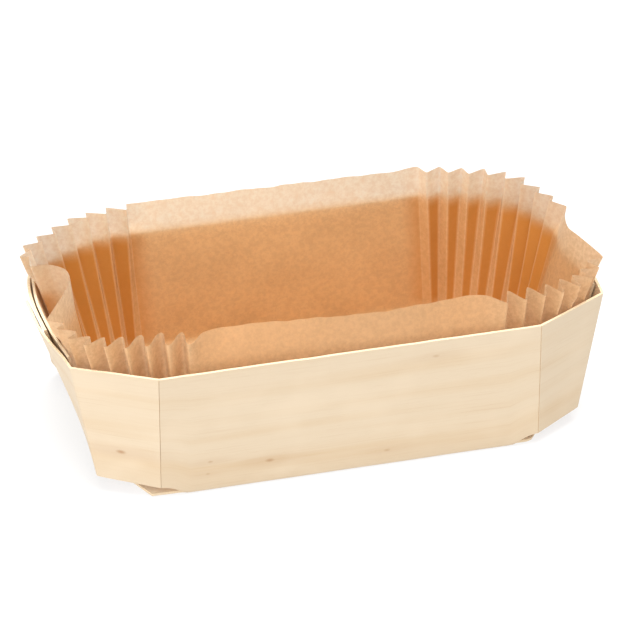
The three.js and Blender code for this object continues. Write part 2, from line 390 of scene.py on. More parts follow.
def cut_edge_material(colours):
    """The veneer's cut edges: warmer than its faces, with a rough sawn line of fibres."""
    recipe = Recipe("poplar_cut_edge")
    place = recipe.add("ShaderNodeTexCoord").outputs["Object"]
    fibres = recipe.noise(recipe.stretch(place, (1500, 1500, 2600)), detail=3.0, roughness=0.6)
    patches = recipe.noise(recipe.stretch(place, (120, 120, 160)), detail=2.0)
    colour = recipe.mix(
        recipe.smooth_step(fibres, 0.4, 0.75) * 0.35,
        opaque(colours.cut_edge),
        opaque(colours.veneer_streak),
    )
    colour = recipe.mix(recipe.smooth_step(patches, 0.45, 0.7) * 0.4, colour, opaque(colours.veneer))
    roughness = 0.7 + (fibres - 0.5) * 0.2
    return recipe.finish(recipe.surface(colour, roughness, 0.2, recipe.bump(fibres, 0.4, 0.06 * MM)))


def paper_material(colours):
    """Brown baking paper that lets light through, cloudy with fibres, darker in its pleats with double paper
    and painted shade, with painted highlights along its folds, a painted lit colour along the back and
    painted backlight above the veneer.
    """
    recipe = Recipe("liner_paper")
    place = recipe.add("ShaderNodeTexCoord").outputs["Object"]
    scaled = recipe.stretch(place, (1000, 1000, 1000))
    clouds = recipe.noise(recipe.stretch(scaled, (0.55, 0.55, 0.55)), detail=4.0, roughness=0.62)
    fibres = recipe.noise(recipe.stretch(scaled, (1.4, 1.4, 3.2)), detail=4.0, roughness=0.7)
    patches = recipe.noise(recipe.stretch(scaled, (0.05, 0.05, 0.07)), detail=2.0)
    specks = recipe.noise(recipe.stretch(scaled, (0.9, 0.9, 1.1), (31, 17, 5)), detail=1.0)
    wrinkles = recipe.noise(recipe.stretch(scaled, (0.12, 0.12, 0.05)), detail=3.0, distortion=0.6)
    doubled_and_pleat_shade, crease_highlight, free, back = [recipe.attribute(name) for name in ("doubled_and_pleat_shade", "crease_highlight", "free", "back")]

    # Painted light: the paper along the back takes the paler lit copy of its colour.
    paper = recipe.mix(back, opaque(colours.paper), opaque(colours.paper_back_lit))
    dark = opaque(colours.paper, 0.78)
    pale = opaque(colours.paper, 1.3, 0.03)
    colour = recipe.mix(recipe.smooth_step(clouds, 0.38, 0.62) * 0.2, paper, dark)
    colour = recipe.mix(recipe.smooth_step(fibres, 0.45, 0.7) * 0.4, colour, pale)
    colour = recipe.mix(recipe.smooth_step(patches, 0.35, 0.75) * 0.25, colour, dark)
    # Painted shade in the pleats, together with the darker double paper there; weaker where the paper stands
    # free above the veneer.
    colour = recipe.mix(doubled_and_pleat_shade * (0.85 - free * 0.5), colour, opaque(colours.paper_specks_and_pleat_shade))
    # Paler along the folds: creased paper, with a painted highlight.
    colour = recipe.mix(crease_highlight * 0.55, colour, pale)
    speck = recipe.smooth_step(specks, 0.8, 0.84)
    colour = recipe.mix(speck * 0.55, colour, opaque(colours.paper_specks_and_pleat_shade))

    cloud_light = recipe.smooth_step(clouds * 0.55 + fibres * 0.45, 0.38, 0.62)
    light = recipe.mix(cloud_light, opaque(colours.paper_light, 1.12), opaque(colours.paper_light, 0.78))
    # Painted backlight: where the paper stands free above the veneer along the back, the light through it is
    # painted paler.
    light = recipe.mix(free * 0.75, light, opaque(colours.paper_free_backlight))
    # Darker light through the pleats: double paper, with painted shade.
    light = recipe.mix(doubled_and_pleat_shade * (0.92 - free * 0.62), light, opaque(colours.paper_specks_and_pleat_shade))

    height = clouds * 0.5 + fibres * 0.35 + wrinkles * 1.2
    normal = recipe.bump(height, 0.3, 0.12 * MM)
    face = recipe.surface(colour, 0.5 + (clouds - 0.5) * 0.3, 0.3, normal)
    through = recipe.add("ShaderNodeBsdfTranslucent", None, {"Color": light, "Normal": normal})
    # Share of light through the paper: less through double paper, more along creases and where painted
    # backlight goes.
    amount = 0.4 - doubled_and_pleat_shade * (0.24 - free * 0.16) + crease_highlight * 0.05 + free * 0.08
    amount = amount - (clouds - 0.5) * (0.14 + free * 0.46)
    mixed = recipe.add("ShaderNodeMixShader", None, {0: amount, 1: face, 2: through.outputs[0]})
    return recipe.finish(mixed.outputs[0])


def floor_material(colours):
    """A plain pale floor with the faintest cloud in it."""
    recipe = Recipe("pale_floor")
    place = recipe.add("ShaderNodeTexCoord").outputs["Object"]
    clouds = recipe.noise(place, scale=3.0, detail=2.0)
    shader = recipe.add("ShaderNodeBsdfPrincipled", None, {
        "Base Color": recipe.mix(clouds, opaque(colours.floor, 0.25), opaque(colours.floor, 0.24)),
        "Roughness": 0.9,
        "Specular IOR Level": 0.0,
        "Emission Color": opaque(colours.floor),
        "Emission Strength": 0.84,
    })
    return recipe.finish(shader.outputs[0])


def shared_material(name, maker, colours):
    """The named material, made the first time that it is asked for."""
    return bpy.data.materials.get(name) or maker(colours)


# ---------------------------------------------------------------- plan curves


def unit(vectors):
    """The same vectors with length 1."""
    return vectors / np.linalg.norm(vectors, axis=-1, keepdims=True)


def reaches(path):
    """How far along a path each of its points is."""
    steps = np.linalg.norm(np.diff(path, axis=0), axis=1)
    return np.concatenate([[0.0], np.cumsum(steps)])


def respace(path, distances):
    """Points at given distances along a path of points."""
    reached = reaches(path)
    return np.stack([np.interp(distances, reached, path[:, k]) for k in range(path.shape[1])], axis=1)


def hermite(start, end, out_slope, in_slope, share):
    """Places a share of the way along a curve that leaves and reaches its ends with given slopes."""
    cubic = 2 * start - 2 * end + out_slope + in_slope
    square = -3 * start + 3 * end - 2 * out_slope - in_slope
    return cubic * share**3 + square * share**2 + out_slope * share + start


def smooth_path(points, fine=40):
    """Many points on a smooth curve through a few plan points."""
    knots = np.array(points, float)
    padded = np.vstack([knots[:1], knots, knots[-1:]])
    share = np.linspace(0, 1, fine, endpoint=False)[:, None]
    pieces = []
    for i in range(len(knots) - 1):
        before, start, end, after = padded[i : i + 4]
        pieces.append(hermite(start, end, (end - before) / 2, (after - start) / 2, share))
    return np.vstack([*pieces, knots[-1:]])


def even_points(path, count):
    """Evenly spaced points along a path."""
    return respace(path, np.linspace(0, reaches(path)[-1], count))


def fold_arc(before, corner, after, count=5):
    """Points on a small round fold between two places either side of a corner."""
    share = np.linspace(0, 1, count)[:, None]
    return before * (1 - share) ** 2 + 2 * corner * share * (1 - share) + after * share**2


# ---------------------------------------------------------------- veneer


def wall_start(x):
    """How far along its bend the long wall's foot starts: it is cut away towards its ends."""
    share = np.clip((abs(x) - SLANT_X) / (SCORE_X - SLANT_X), 0, 1)
    return (SCORE_FOOT_Z - BEND_RADIUS + BEND_LENGTH) * math.sin(share * math.pi / 2)


def wall_column(x):
    """Points up the outer face of a long wall at one x, from its foot round the bend to the rim."""
    start = wall_start(x)
    distance = start + ROW_SHARES * (WALL_LENGTH - start)
    angle = np.minimum(distance / BEND_RADIUS, math.pi / 2)
    y = WALL_Y - BEND_RADIUS + BEND_RADIUS * np.sin(angle)
    z = BEND_RADIUS - BEND_RADIUS * np.cos(angle) + np.maximum(distance - BEND_LENGTH, 0)
    return np.stack([np.full_like(y, x), y, z], axis=1)


def straight_column(foot, foot_z, rim):
    """Points up a straight line from the foot of a panel to its rim."""
    low = np.array([foot[0], foot[1], foot_z])
    high = np.array([rim[0], rim[1], RIM_Z])
    return low + ROW_SHARES[:, None] * (high - low)


def half_blank(end, side, score, edge):
    """Columns from the middle of a long wall to an end ply's tip, and where the panels end."""
    columns = []
    xs = [*np.linspace(0, SLANT_X, 21), *np.linspace(SLANT_X, SCORE_X - score, 9)[1:], SCORE_X]
    for x in xs:
        columns.append(wall_column(x))
    score_at = len(columns) - 1

    corner = np.array([SCORE_X, WALL_Y])
    fold_foot_z = end["fold_foot_z"]
    rim_fold, foot_fold = np.array(FOLD_RIM), np.array(end["fold_foot"])
    rim_reach = np.linalg.norm(rim_fold - corner)
    for share in [score / rim_reach, *np.linspace(0.06, 1 - FOLD_ROUND / rim_reach, 10)[:-1]]:
        rim = corner + (rim_fold - corner) * share
        foot = corner + (foot_fold - corner) * share
        foot_z = SCORE_FOOT_Z + (fold_foot_z - SCORE_FOOT_Z) * share
        columns.append(straight_column(foot, foot_z, rim))

    rim_path, foot_path = smooth_path(end[f"{side}_rim"]), smooth_path(end[f"{side}_foot"])
    arcs = []
    for fold, path in ((rim_fold, rim_path), (foot_fold, foot_path)):
        before = fold - unit(fold - corner) * FOLD_ROUND
        arcs.append(fold_arc(before, fold, respace(path, [FOLD_ROUND])[0]))
    for rim, foot in zip(*arcs):
        columns.append(straight_column(foot, fold_foot_z, rim))
    fold_at = len(columns) - 1

    shares = np.array([*np.linspace(0, 1 - edge / reaches(rim_path)[-1], 22)[1:], 1.0])
    rims, feet = [
        respace(path, FOLD_ROUND + (reaches(path)[-1] - FOLD_ROUND) * shares)
        for path in (rim_path, foot_path)
    ]
    for rim, foot in zip(rims, feet):
        columns.append(straight_column(foot, fold_foot_z, rim))
    return np.array(columns), score_at, fold_at


def grid_normals(grid):
    """Unit normals of a grid of points, by their neighbours along it and up it."""
    slopes = []
    for turned in (grid, grid.swapaxes(0, 1)):
        padded = np.concatenate([turned[:1], turned, turned[-1:]])
        slopes.append(padded[2:] - padded[:-2])
    return unit(np.cross(slopes[0], slopes[1].swapaxes(0, 1)))


def outward(grid, normal):
    """The same normals, turned to point away from the middle of the tray."""
    plan = (grid[..., 0] * 0.25 * normal[..., 0] + grid[..., 1] * normal[..., 1]).mean()
    end_on = (grid[..., 0] * normal[..., 0]).mean()
    facing = plan if abs(plan) > abs(end_on) * 0.2 else end_on
    return normal if facing > 0 else -normal


def slow_waves(along, up, seed):
    """A gentle rise and fall over a sheet, from 0 to 1."""
    rng = random.Random(seed)
    total = np.zeros(np.broadcast(along, up).shape)
    for length in (160, 95, 60, 41):
        phase = rng.uniform(0, TURN)
        tilt = rng.uniform(-0.5, 0.5)
        total = total + np.sin(along * TURN / length + up * TURN * tilt / length + phase)
    return 0.5 + total / 8


def veneer_faces(outer, normal, thickness, sizes, seed, along):
    """Outer and inner faces of a veneer panel, with its warp and its slightly uneven rim."""
    up = outer[..., 2]
    warp = slow_waves(along[:, None], up, seed) * sizes.warp / MM
    base = outer - normal * warp[..., None]
    uneven = slow_waves(along[:, None] * 3.1, up * 0, seed + 1) * RIM_UNEVENNESS
    base[..., 2] -= uneven * ROW_SHARES[None, :] ** 8
    flat = np.hypot(normal[..., 0], normal[..., 1])
    level = normal.copy()
    level[..., 2] = 0
    level /= np.maximum(flat, 0.3)[..., None] ** 2
    upright = (abs(normal[..., 2]) < 0.6)[..., None]
    bend = upright | (outer[..., 2:] > BEND_RADIUS + 0.01)
    shift = np.where(bend, level, normal) * thickness
    return base, base - shift


def ring_of_column(outer, inner, edge):
    """One closed loop round a column's section: up the outer face and down the inner one."""
    rim_up, foot_down = unit(outer[-1] - outer[-2]), unit(outer[0] - outer[1])
    across_rim, across_foot = unit(inner[-1] - outer[-1]), unit(inner[0] - outer[0])
    faces = [outer.copy(), inner.copy()]
    for face in faces:
        face[-1] -= rim_up * edge
        face[0] -= foot_down * edge
    rim = [outer[-1] + across_rim * edge, inner[-1] - across_rim * edge]
    foot = [inner[0] - across_foot * edge, outer[0] + across_foot * edge]
    return np.vstack([faces[0], rim, faces[1][::-1], foot])


def finished_veneer(name, work):
    """The mesh of a worked piece of veneer, with crisp edges."""
    mesh = bpy.data.meshes.new(name)
    work.to_mesh(mesh)
    work.free()
    mesh.set_sharp_from_angle(angle=SHARP_ANGLE)
    return mesh


def veneer_mesh(name, outer, inner, along, up, edge, offset, grooves=()):
    """A closed mesh of a veneer panel. Its second material is for the cut edges."""
    rows = outer.shape[1]
    rings = np.array([ring_of_column(o, i, edge) for o, i in zip(outer, inner)])
    count = rings.shape[1]
    stations = len(rings)
    heights = np.concatenate([up, [up[-1]] * 2, up[::-1], [up[0]] * 2])
    cut_spans = {rows - 1, rows, rows + 1, count - 3, count - 2, count - 1}
    work = bmesh.new()
    verts = [[work.verts.new(Vector(p) * MM) for p in ring] for ring in rings]
    grain = work.loops.layers.uv.new("grain")

    def add_face(corners, material):
        face = work.faces.new([verts[station][level] for station, level in corners])
        for loop, (station, level) in zip(face.loops, corners):
            loop[grain].uv = (along[station] * MM + offset[0], heights[level] * MM + offset[1])
        face.material_index = material
        return face

    for i in range(stations - 1):
        for k in range(count):
            n = (k + 1) % count
            in_groove = k < rows - 1 and i in grooves
            face = add_face([(i, k), (i + 1, k), (i + 1, n), (i, n)], int(k in cut_spans or in_groove))
            face.smooth = True
    caps = [(j, j + 1, 2 * rows - j, 2 * rows + 1 - j) for j in range(rows - 1)]
    caps += [(rows - 1, rows, rows + 1, rows + 2), (2 * rows + 1, 2 * rows + 2, 2 * rows + 3, 0)]
    for i in (0, stations - 1):
        for levels in caps:
            add_face([(i, k) for k in levels], 1)
    bmesh.ops.recalc_face_normals(work, faces=work.faces)
    return finished_veneer(name, work)


def add_piece(name, mesh, materials, body, nodes):
    """Puts a mesh in the scene as a piece that rides on a body and stands for CAD nodes."""
    for material in materials:
        mesh.materials.append(material)
    piece = bpy.data.objects.new(name, mesh)
    bpy.context.scene.collection.objects.link(piece)
    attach(piece, body)
    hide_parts(*nodes)
    return piece


def veneer_piece(name, mesh, nodes):
    colours = bpy.context.scene.mould_colours
    materials = [
        shared_material("peeled_poplar", veneer_material, colours),
        shared_material("poplar_cut_edge", cut_edge_material, colours),
    ]
    return add_piece(name, mesh, materials, "tray", nodes)


def arc_lengths(outer):
    """Signed distance of each column from the middle of its blank, at half its height."""
    middle = outer[:, len(ROW_SHARES) // 2]
    reached = reaches(middle)
    return reached - reached[-1] / 2


def folded_blank(side, sizes):
    """The folded blank of one long side, as its faces and the stations where its panels end."""
    sy = -1 if side == "front" else 1
    score = sizes.score_width / MM / 2
    edge = sizes.edge_round / MM
    right, score_at, fold_at = half_blank(ENDS["right"], side, score, edge)
    left, _, _ = half_blank(ENDS["left"], side, score, edge)
    outer = np.vstack([left[:0:-1] * np.array([-1, 1, 1]), right]) * np.array([1, sy, 1])
    middle = len(left) - 1
    scores = (middle - score_at, middle + score_at)
    folds = (middle - fold_at, middle + fold_at)
    normal = outward(outer, grid_normals(outer))
    along = arc_lengths(outer)
    thickness = sizes.veneer / MM
    seed = 11 if side == "front" else 23
    outer_face, inner_face = veneer_faces(outer, normal, thickness, sizes, seed, along)
    for station in scores:
        outer_face[station] -= normal[station] * sizes.score_depth / MM
    for station, inside in ((0, 1), (-1, -2)):
        pull = (inner_face[station] - outer_face[station]) / thickness * edge
        outer_face[station] += pull
        inner_face[station] -= pull
    return outer_face, inner_face, along, scores, folds


def blank_part(name, blank, first, last, side, sizes):
    """The mesh of one panel of a folded blank, between two of its stations."""
    outer, inner, along, scores, _ = blank
    span = slice(first, last + 1)
    up = ROW_SHARES * RIM_Z
    grooves = set()
    for score in scores:
        if first <= score - 1 < last:
            grooves.add(score - 1 - first)
        if first <= score < last:
            grooves.add(score - first)
    edge = sizes.edge_round / MM
    offset = GRAIN_OFFSETS[side]
    return veneer_mesh(name, outer[span], inner[span], along[span], up, edge, offset, grooves)


def flap_columns(end):
    """Columns of the flap at an end of the bottom strip: a round fold, then a straight rise."""
    rim_path, foot_path = smooth_path(end["flap_rim"]), smooth_path(end["flap_foot"])
    rims, feet = even_points(rim_path, 25), even_points(foot_path, 25)
    columns = []
    for rim, foot in zip(rims, feet):
        low = np.array([foot[0], foot[1], FLAP_FOOT_Z])
        high = np.array([rim[0], rim[1], RIM_Z])
        straight = low + np.linspace(0.045, 1, 18)[:, None] * (high - low)
        sheet_end = np.array([end["sheet_end"] + 0.05, foot[1], 0.0])
        corner = np.array([foot[0] - 0.1, foot[1], 0.0])
        bend = fold_arc(sheet_end, corner, straight[0], 7)[:-1]
        columns.append(np.vstack([bend, straight]))
    return np.array(columns) * np.array([end["sx"], 1, 1])


def flap_mesh(end, sizes):
    """The mesh of one end flap, bowed between the end plies and the liner."""
    outer = flap_columns(ENDS[end])
    normal = grid_normals(outer)
    if (normal[..., 0] * outer[..., 0]).mean() < 0:
        normal = -normal
    inner = outer - normal * sizes.veneer / MM
    up = reaches(outer[len(outer) // 2])
    along = outer[:, 0, 1]
    edge = sizes.edge_round / MM
    return veneer_mesh(f"{end}_end_flap", outer, inner, along, up, edge, GRAIN_OFFSETS[end])


def sheet_mesh(sizes):
    """The bottom sheet, with its four tongues, as a slab with worn edges."""
    right = BACK_RIGHT_QUARTER + [(x, -y) for x, y in reversed(FRONT_RIGHT_QUARTER)]
    left = [(-x, -y) for x, y in LEFT_QUARTER] + [(-x, y) for x, y in reversed(LEFT_QUARTER)]
    outline = right + left
    work = bmesh.new()
    verts = [work.verts.new((x * MM, y * MM, 0)) for x, y in outline]
    base = work.faces.new(verts)
    raised = bmesh.ops.extrude_face_region(work, geom=[base])["geom"]
    lifted = [g for g in raised if isinstance(g, bmesh.types.BMVert)]
    bmesh.ops.translate(work, verts=lifted, vec=(0, 0, sizes.veneer))
    bmesh.ops.recalc_face_normals(work, faces=work.faces)
    bmesh.ops.bevel(
        work, geom=list(work.edges), offset=sizes.edge_round, segments=2, profile=0.5, affect="EDGES",
    )
    grain = work.loops.layers.uv.new("grain")
    for face in work.faces:
        face.smooth = True
        face.material_index = 0 if abs(face.normal.z) > 0.95 else 1
        for loop in face.loops:
            loop[grain].uv = (loop.vert.co.x + SHEET_GRAIN[0], loop.vert.co.y + SHEET_GRAIN[1])
    bmesh.ops.triangulate(work, faces=[f for f in work.faces if len(f.verts) > 4])
    return finished_veneer("bottom_sheet", work)


# ---------------------------------------------------------------- paper liner

LINER_FOOT_Z = 1.3
LINER_TOP_Z = LINER_HIGH.z / MM
LINER_FOOT_CORNER = [(55.0, 46.3), (60.0, 46.3), (84.0, 27.0), (84.0, 14.0)]
PAPER_CLEARANCE = 0.4
SPINE_X = 58.0
LEVELS = 44
FLOOR_RINGS = 12

# Corners, each from its long panel towards its end panel. Their pleats are evenly spaced along a
# smooth edge through a few guide points, in the plan of that corner. Lag is where the next inner
# fold lies between two tips, as a share of their distance.
CORNERS = {
    "back_left": {
        "sign": (-1, 1), "count": 9, "drop": -0.3, "soft": (0.34, 0.5), "shade": 1.0,
        "edge": [(59, 52.5), (76, 49.5), (91, 41.5), (105, 29), (103, 17)],
        "depth": (3.4, 3.4, 3.0), "lag": (0.16, 0.18),
    },
    "back_right": {
        "sign": (1, 1), "count": 9, "drop": -0.3, "soft": (0.5, 0.34), "shade": 0.95,
        "edge": [(53, 50.5), (76, 43.5), (90.5, 31.5), (99, 8.5)],
        "depth": (3.4, 3.8, 3.6, 2.6), "lag": (0.42, 0.36, 0.22, 0.1),
    },
    "front_left": {
        "sign": (-1, -1), "count": 9, "drop": 1.2, "soft": (1.0, 0.5), "shade": 0.25,
        "edge": [(59, 47.5), (83, 43.5), (98, 36), (104.5, 18.5)],
        "depth": (6.0, 6.3, 4.6, 3.2), "lag": (0.26, 0.24, 0.14, 0.06),
    },
    "front_right": {
        "sign": (1, -1), "count": 8, "drop": 1.5, "soft": (0.5, 0.5), "shade": 0.3,
        "edge": [(58.5, 49), (81, 47), (94, 40), (101.5, 28)],
        "depth": (5.7, 5.7, 4.6), "lag": (0.28, 0.36, 0.34, 0.2, 0.1),
    },
}

# Smooth panels between the corners: guide points of the top edge in plan, and how far the panel
# bellies in half way up
PANELS = {
    "back": {"top": [(19, 51), (-31, 52)], "belly": 0.5},
    "left": {"top": [(-95, 16.5), (-91, 12), (-91, 5), (-98, -9)], "belly": 1.6},
    "front": {
        "top": [(-52, -42.5), (-40, -41), (-12, -43.5), (14, -45.5), (42, -43), (52, -45)],
        "belly": 0.4,
    },
    "right": {"top": [(98, -16), (95, -4)], "belly": 0.8},
}
PANEL_STEP = 8.0


def foot_points(count, sign):
    """Where a corner's folds reach the liner's foot, from its long side to its end."""
    path = np.array(LINER_FOOT_CORNER)
    return even_points(path, count) * np.array(sign)


def towards_middle(points):
    """Unit plan vectors from places on the liner's wall towards the middle line of the mould."""
    spine = np.stack([np.clip(points[..., 0], -SPINE_X, SPINE_X), np.zeros(points.shape[:-1])], axis=-1)
    return unit(spine - points[..., :2])


def spread(values, count):
    """A few values drawn out evenly over a count of places."""
    return np.interp(np.linspace(0, 1, count), np.linspace(0, 1, len(values)), values)


def corner_folds(corner, sizes, rng):
    """A corner's folds in order: top place, foot place, softness, and whether it is an inner fold."""
    count, sign = corner["count"], np.array(corner["sign"])
    tips = even_points(smooth_path(corner["edge"]), count) * sign
    feet = foot_points(2 * count - 1, corner["sign"])
    lags, depths = [spread(corner[name], count - 1) for name in ("lag", "depth")]
    wave = sizes.edge_wave / MM
    softness = spread(corner["soft"], count) * sizes.softness
    folds = []
    for k in range(count):
        z = LINER_TOP_Z - corner["drop"] + rng.uniform(-wave, wave) * 0.5
        folds.append((*tips[k], z, *feet[2 * k], softness[k] * rng.uniform(0.8, 1.1), 0.0))
        if k == count - 1:
            break
        step = tips[k + 1] - tips[k]
        inward = unit(np.array([-step[1], step[0]]))
        middle = (tips[k] + tips[k + 1]) / 2
        if inward @ towards_middle(middle) < 0:
            inward = -inward
        depth = depths[k] * rng.uniform(0.93, 1.07)
        top = tips[k] + step * lags[k] + inward * depth
        foot = feet[2 * k + 1] + towards_middle(feet[2 * k + 1]) * 1.3
        z = LINER_TOP_Z + rng.uniform(-wave, wave) * 0.5
        folds.append((*top, z, *foot, softness[k] * rng.uniform(0.8, 1.1), 1.0))
    return folds


def panel_folds(panel, start, end):
    """Guide columns of a smooth panel, between the last fold of one corner and the first of the next."""
    path = smooth_path([start[:2], *panel["top"], end[:2]])
    places = even_points(path, int(reaches(path)[-1] / PANEL_STEP) + 2)[1:-1]
    reach = np.linspace(0, 1, len(places) + 2)[1:-1]
    folds = []
    for place, share in zip(places, reach):
        foot = np.array(start[3:5]) * (1 - share) + np.array(end[3:5]) * share
        z = LINER_TOP_Z - 0.15
        folds.append((*place, z, *foot, 0.85, 0.5))
    return folds


def liner_folds(sizes):
    """Every fold and guide point round the liner, and what the paper after each one is.

    The shade is above 0 on the wide faces of the pleats, and below 0 on their narrow faces."""
    rng = random.Random(RANDOM_SEED)
    corners = {name: corner_folds(corner, sizes, rng) for name, corner in CORNERS.items()}
    order = [
        ("back", corners["back_right"][0], corners["back_left"][0]),
        ("back_left", corners["back_left"], False),
        ("left", corners["back_left"][-1], corners["front_left"][-1]),
        ("front_left", corners["front_left"][::-1], True),
        ("front", corners["front_left"][0], corners["front_right"][0]),
        ("front_right", corners["front_right"], False),
        ("right", corners["front_right"][-1], corners["back_right"][-1]),
        ("back_right", corners["back_right"][::-1], True),
    ]
    folds, shades, bellies = [], [], []
    for name, first, second in order:
        if name in PANELS:
            added = panel_folds(PANELS[name], first, second)
            folds += added
            shades += [0.0] * len(added)
            bellies += [PANELS[name]["belly"]] * len(added)
            continue
        shade = CORNERS[name]["shade"]
        for k, fold in enumerate(first):
            leaves_inner = fold[6] > 0.5
            wide = leaves_inner if not second else not leaves_inner
            last = k == len(first) - 1
            folds.append(fold)
            shades.append(0.0 if last else shade if wide else -shade)
            bellies.append(0.0)
    return np.array(folds), np.array(shades), np.array(bellies)


def rounded_rings(corners, softness, steps):
    """Rings through every fold. A fold is sharp where its softness is near 0, and round near 1."""
    before, after = np.roll(corners, 1, axis=1), np.roll(corners, -1, axis=1)
    ways = unit(after - before)
    lengths = np.linalg.norm(after - corners, axis=2)[..., None]
    soft = softness[None, :, None]
    leaving = ways * lengths * soft
    arriving = np.roll(ways * soft, -1, axis=1) * lengths
    columns, marks = [], []
    for k in range(corners.shape[1]):
        ends = (corners[:, k], after[:, k], leaving[:, k], arriving[:, k])
        for step in range(steps[k]):
            t = 0.5 - 0.5 * math.cos(math.pi * step / steps[k])
            columns.append(hermite(*ends, t))
            marks.append((k, t))
    return np.stack(columns, axis=1), marks


def keep_inside_tray(points):
    """Points of the liner, pushed in where they would pass through the veneer's inner faces."""
    x, y, z = points[..., 0].copy(), points[..., 1].copy(), points[..., 2]
    held = np.clip((RIM_Z + 3.5 - z) / 3.0, 0, 1)
    gap = VENEER + PAPER_CLEARANCE
    over_wall = np.maximum(abs(y) - (WALL_Y - gap), 0) * held
    y -= np.sign(y) * over_wall
    for end in ENDS.values():
        here = np.where(x * end["sx"] > 0, held, 0.0)
        foot_z = end["fold_foot_z"]
        share = np.clip((z - foot_z) / (RIM_Z - foot_z), 0, 1)
        fold_x, fold_y = [foot + (rim - foot) * share for foot, rim in zip(end["fold_foot"], FOLD_RIM)]
        step_x, step_y = fold_x - SCORE_X, fold_y - WALL_Y
        length = np.hypot(step_x, step_y)
        out_x, out_y = -step_y / length, step_x / length
        beyond = (abs(x) - SCORE_X) * out_x + (abs(y) - WALL_Y) * out_y + gap
        beyond = np.maximum(beyond, 0) * here
        x -= np.sign(x) * beyond * out_x
        y -= np.sign(y) * beyond * out_y
        rim = smooth_path(end["flap_rim"])[::-1]
        rim_x = np.interp(y, rim[:, 1], rim[:, 0])
        foot_x = end["flap_foot"][0][0]
        limit = foot_x + (rim_x - foot_x) * np.clip(z / RIM_Z, 0, 1) - gap - 0.2
        x -= end["sx"] * np.maximum(abs(x) - limit, 0) * here
    return np.stack([x, y, z], axis=-1)


def liner_corners(folds, bellies):
    """The liner's folds at every level, from its foot to its top edge."""
    rim_share = (RIM_Z - LINER_FOOT_Z) / (LINER_TOP_Z - LINER_FOOT_Z)
    shares = np.linspace(0, 1, LEVELS)
    top, foot = folds[:, :2], folds[:, 3:5]
    rim = foot + (top - foot) * rim_share
    panels = folds[:, 6] == 0.5
    fronts = panels & (folds[:, 1] < -35)
    rim[fronts, 1] = rim[fronts, 1] * 0.35 - 48.6 * 0.65
    backs = panels & (folds[:, 1] > 35)
    rim[backs, 1] = 49.3
    levels = []
    for share in shares:
        if share < rim_share:
            plan = foot + (rim - foot) * share / rim_share
        else:
            plan = rim + (top - rim) * (share - rim_share) / (1 - rim_share)
        belly = math.sin(math.pi * min(share / rim_share, 1.0)) * bellies
        plan = plan + towards_middle(plan) * belly[:, None]
        z = LINER_FOOT_Z + (folds[:, 2] - LINER_FOOT_Z) * share
        levels.append(np.column_stack([plan, z]))
    return np.array(levels)


def smooth_levels(points, times):
    """Evens out the kinks between levels, and leaves the lowest and the highest level alone."""
    for _ in range(times):
        points[1:-1] = points[1:-1] * 0.5 + (points[2:] + points[:-2]) * 0.25
    return points


def round_foot(points, radius):
    """Draws the lowest part of the wall in, so that it meets the floor in a round bend."""
    height = np.clip((points[..., 2] - LINER_FOOT_Z) / radius, 0, 1)
    inset = radius * (1 - np.sqrt(1 - (1 - height) ** 2))
    points[..., :2] += towards_middle(points) * inset[..., None]
    return points


def liner_surface(sizes):
    """Rings of points from the middle of the liner's floor up to its top edge, with their marks."""
    folds, shades, bellies = liner_folds(sizes)
    corners = liner_corners(folds, bellies)
    top = corners[-1, :, :2]
    lengths = np.linalg.norm(np.roll(top, -1, axis=0) - top, axis=1)
    steps = np.clip(np.round(lengths / 1.1), 6, 14).astype(int)
    wall, marks = rounded_rings(corners, folds[:, 5], steps)
    wall = smooth_levels(wall, 3)
    wall = keep_inside_tray(wall)
    wall = smooth_levels(wall, 1)
    wall = crumple(wall, sizes)
    wall = round_foot(wall, sizes.foot_round / MM)
    foot = wall[0]
    centre = np.column_stack([np.clip(foot[:, 0], -50, 50), np.zeros(len(foot)), foot[:, 2]])
    floor = []
    for k in range(FLOOR_RINGS, 0, -1):
        share = (k / FLOOR_RINGS) ** 1.5
        ring = foot + (centre - foot) * share
        ring[:, 2] = LINER_FOOT_Z - 0.12 * min(1.0, share * 8)
        ring[:, 2] += 0.25 * slow_waves(ring[:, 0] * 1.7, ring[:, 1] * 2.1, 5) * math.sin(math.pi * share)
        floor.append(ring)
    return np.array(floor + list(wall)), marks, shades, lengths


def crumple(points, sizes):
    """Small buckles over the paper, strongest where it stands free above the veneer."""
    amount = sizes.crumple / MM
    x, y, z = points[..., 0], points[..., 1], points[..., 2]
    ring = np.arctan2(y, x)
    rng = random.Random(RANDOM_SEED + 2)
    total = np.zeros_like(x)
    for waves, rise in ((9, 0.05), (14, -0.07), (23, 0.11), (31, -0.09)):
        total += np.sin(ring * waves + z * rise + rng.uniform(0, TURN))
    free = 0.35 + 0.65 * np.clip((z - RIM_Z + 6) / 12, 0, 1)
    moved = points.copy()
    moved[..., :2] += towards_middle(points) * (amount * free * (0.5 + total / 8))[..., None]
    wave = sizes.edge_wave / MM
    edge = np.sin(ring * 17 + 1.3) * 0.5 + np.sin(ring * 41 + 0.4) * 0.35
    moved[..., 2] += wave * edge * np.clip((z - RIM_Z) / 12, 0, 1)
    return moved


